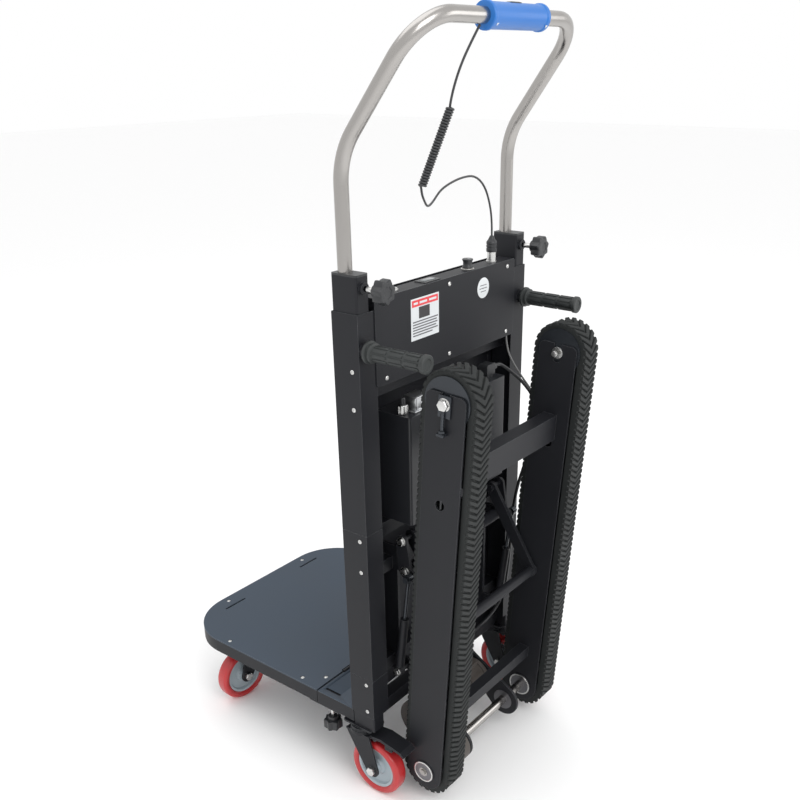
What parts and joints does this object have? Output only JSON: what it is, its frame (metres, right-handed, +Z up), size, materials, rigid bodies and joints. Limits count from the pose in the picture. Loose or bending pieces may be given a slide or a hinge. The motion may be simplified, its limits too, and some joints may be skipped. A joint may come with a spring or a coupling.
{
  "type": "tracked stair climbing hand truck",
  "caption": "Upright hand truck with a folding load platform, swivel casters and a swing-out pair of powered lugged tracks for climbing stairs.",
  "frame": {"origin": "middle of the footprint, on the floor", "axes": "+Z up, +Y towards the operator and the tracks, -Y towards the load platform, +X to the operator's left"},
  "size_m": [0.544, 0.81, 1.4988],
  "materials": {
    "black_powder": "satin powder coat",
    "deck_powder": "matte powder coat",
    "stainless": "polished tube",
    "zinc": "zinc plated",
    "blue_grip": "smooth rubber",
    "black_rubber": "moulded",
    "belt_rubber": "moulded lugs",
    "black_plastic": "fine grain",
    "case_plastic": "satin",
    "red_tyre": "polyurethane",
    "grey_hub": "moulded",
    "motor_paint": "cast and painted",
    "display": "glossy",
    "cord_black": "smooth jacket"
  },
  "bodies": {
    "frame": {"main_frame": "black_powder", "upright_covers": "black_powder", "socket_guides": "black_plastic", "front_panel": "black_powder", "control_box": "black_powder", "rear_cover": "black_powder", "cover_screws": "zinc", "charge_display": "display", "panel_sockets": "zinc", "battery_case": "case_plastic", "battery_fittings": "stainless", "battery_plug": "black_plastic", "power_cable": "cord_black", "gear_motor": "motor_paint", "shaft_bearings": "zinc", "side_grips": "black_rubber", "rear_caster_mounts": "zinc", "cord_coil": "cord_black", "cord_lower_lead": "cord_black", "cord_plug": "black_plastic"},
    "handle": {"handle_tube": "stainless", "grip_sleeve": "blue_grip", "cord_upper_lead": "cord_black"},
    "handle_switch": {"grip_switch": "black_plastic"},
    "clamp_left": {"clamp_knob_left": "black_plastic"},
    "clamp_right": {"clamp_knob_right": "black_plastic"},
    "lock_left": {"lock_knob_left": "black_plastic"},
    "lock_right": {"lock_knob_right": "black_plastic"},
    "speed_dial": {"speed_knob": "black_plastic"},
    "tracks": {"track_frame": "black_powder", "track_side_plates": "black_powder", "track_tensioners": "zinc", "track_bearings": "zinc", "track_belts": "belt_rubber"},
    "drive": {"drive_shaft": "stainless", "drive_sprockets": "black_plastic"},
    "idler_left": {"idler_wheel_left": "black_plastic"},
    "idler_right": {"idler_wheel_right": "black_plastic"},
    "lever": {"brace_lever": "black_powder"},
    "strut": {"brace_strut": "black_powder"},
    "spring_cylinders": {"gas_cylinders": "black_powder"},
    "spring_rods": {"gas_rods": "zinc"},
    "platform": {"platform_frame": "black_powder", "deck_plate": "deck_powder", "deck_screws": "zinc", "front_caster_mounts": "zinc"},
    "rear_left_caster": {"rear_left_fork": "black_powder"},
    "rear_left_wheel": {"rear_left_hub": "grey_hub", "rear_left_tyre": "red_tyre"},
    "rear_left_brake": {"rear_left_brake_pedal": "black_powder"},
    "rear_right_caster": {"rear_right_fork": "black_powder"},
    "rear_right_wheel": {"rear_right_hub": "grey_hub", "rear_right_tyre": "red_tyre"},
    "rear_right_brake": {"rear_right_brake_pedal": "black_powder"},
    "front_left_caster": {"front_left_fork": "black_powder"},
    "front_left_wheel": {"front_left_hub": "grey_hub", "front_left_tyre": "red_tyre"},
    "front_right_caster": {"front_right_fork": "black_powder"},
    "front_right_wheel": {"front_right_hub": "grey_hub", "front_right_tyre": "red_tyre"}
  },
  "joints": [
    {"name": "handle_slide", "type": "slide", "parent": "frame", "child": "handle", "axis": [0, 0, 1], "range_m": [-0.1, 0.06], "deforming": ["cord_coil"]},
    {"name": "handle_switch_tilt", "type": "hinge", "parent": "handle", "child": "handle_switch", "pos_m": [-0.012, 0.313, 1.496], "axis": [0, 1, 0], "range_deg": [-6, 6], "stiffness_Nm_per_rad": 0.05},
    {"name": "clamp_turn_left", "type": "hinge", "parent": "frame", "child": "clamp_left", "pos_m": [0.244, 0.236, 1.072], "axis": [0, 1, 0], "range_deg": [-360, 360]},
    {"name": "clamp_turn_right", "type": "hinge", "parent": "frame", "child": "clamp_right", "pos_m": [-0.244, 0.236, 1.072], "axis": [0, 1, 0], "range_deg": [-360, 360]},
    {"name": "lock_turn_left", "type": "hinge", "parent": "frame", "child": "lock_left", "pos_m": [0.24, 0.06, 0.14], "axis": [0, 0, 1], "range_deg": [-360, 360]},
    {"name": "lock_turn_right", "type": "hinge", "parent": "frame", "child": "lock_right", "pos_m": [-0.24, 0.06, 0.14], "axis": [0, 0, 1], "range_deg": [-360, 360]},
    {"name": "speed_turn", "type": "hinge", "parent": "frame", "child": "speed_dial", "pos_m": [-0.078, 0.182, 1.055], "axis": [0, 0, 1], "range_deg": [-270, 0]},
    {"name": "track_fold", "type": "hinge", "parent": "frame", "child": "tracks", "pos_m": [0, 0.291, 0.082], "axis": [-1, 0, 0], "range_deg": [0, 20]},
    {"name": "drive_spin", "type": "hinge", "parent": "frame", "child": "drive", "pos_m": [0, 0.291, 0.082], "axis": [1, 0, 0], "continuous": true},
    {"name": "idler_spin_left", "type": "hinge", "parent": "tracks", "child": "idler_left", "pos_m": [0.184, 0.347, 0.89307], "axis": [1, 0, 0], "continuous": true},
    {"name": "idler_spin_right", "type": "hinge", "parent": "tracks", "child": "idler_right", "pos_m": [-0.184, 0.347, 0.89307], "axis": [1, 0, 0], "continuous": true},
    {"name": "lever_swing", "type": "hinge", "parent": "frame", "child": "lever", "pos_m": [0, 0.215, 0.507], "axis": [-1, 0, 0], "range_deg": [0, 89]},
    {"name": "strut_swing", "type": "hinge", "parent": "tracks", "child": "strut", "pos_m": [0, 0.3129, 0.39925], "axis": [-1, 0, 0], "range_deg": [-33.3, 0]},
    {"name": "spring_swing", "type": "hinge", "parent": "frame", "child": "spring_cylinders", "pos_m": [0, 0.204, 0.276], "axis": [-1, 0, 0], "range_deg": [-5.77, 0]},
    {"name": "spring_stroke", "type": "slide", "parent": "spring_cylinders", "child": "spring_rods", "axis": [0, 0.1267, 0.9919], "range_m": [-0.0162, 0]},
    {"name": "platform_fold", "type": "hinge", "parent": "frame", "child": "platform", "pos_m": [0, 0.0365, 0.195], "axis": [-1, 0, 0], "range_deg": [0, 90]},
    {"name": "rear_left_swivel", "type": "hinge", "parent": "frame", "child": "rear_left_caster", "pos_m": [0.241, 0.151, 0.15], "axis": [0, 0, 1], "range_deg": [-135, 0]},
    {"name": "rear_left_roll", "type": "hinge", "parent": "rear_left_caster", "child": "rear_left_wheel", "pos_m": [0.241, 0.189, 0.0625], "axis": [1, 0, 0], "continuous": true},
    {"name": "rear_left_brake_press", "type": "hinge", "parent": "rear_left_caster", "child": "rear_left_brake", "pos_m": [0.241, 0.195, 0.142], "axis": [-1, 0, 0], "range_deg": [0, 10]},
    {"name": "rear_right_swivel", "type": "hinge", "parent": "frame", "child": "rear_right_caster", "pos_m": [-0.241, 0.151, 0.15], "axis": [0, 0, 1], "range_deg": [0, 135]},
    {"name": "rear_right_roll", "type": "hinge", "parent": "rear_right_caster", "child": "rear_right_wheel", "pos_m": [-0.241, 0.189, 0.0625], "axis": [1, 0, 0], "continuous": true},
    {"name": "rear_right_brake_press", "type": "hinge", "parent": "rear_right_caster", "child": "rear_right_brake", "pos_m": [-0.241, 0.195, 0.142], "axis": [-1, 0, 0], "range_deg": [0, 10]},
    {"name": "front_left_swivel", "type": "hinge", "parent": "platform", "child": "front_left_caster", "pos_m": [0.153, -0.288, 0.15], "axis": [0, 0, 1], "continuous": true},
    {"name": "front_left_roll", "type": "hinge", "parent": "front_left_caster", "child": "front_left_wheel", "pos_m": [0.19091, -0.29065, 0.0625], "axis": [-0.0698, -0.9976, 0], "continuous": true},
    {"name": "front_right_swivel", "type": "hinge", "parent": "platform", "child": "front_right_caster", "pos_m": [-0.153, -0.288, 0.15], "axis": [0, 0, 1], "continuous": true},
    {"name": "front_right_roll", "type": "hinge", "parent": "front_right_caster", "child": "front_right_wheel", "pos_m": [-0.19091, -0.29065, 0.0625], "axis": [-0.0698, 0.9976, 0], "continuous": true}
  ],
  "couplings": [
    {"joint": "idler_spin_left", "follows": "drive_spin", "ratio": 1},
    {"joint": "idler_spin_right", "follows": "drive_spin", "ratio": 1},
    {"joint": "lever_swing", "follows": "track_fold", "ratio": 4.425},
    {"joint": "strut_swing", "follows": "track_fold", "ratio": -1.64},
    {"joint": "spring_swing", "follows": "track_fold", "ratio": -0.2635},
    {"joint": "spring_stroke", "follows": "track_fold", "m_per_rad": -0.04526}
  ]
}
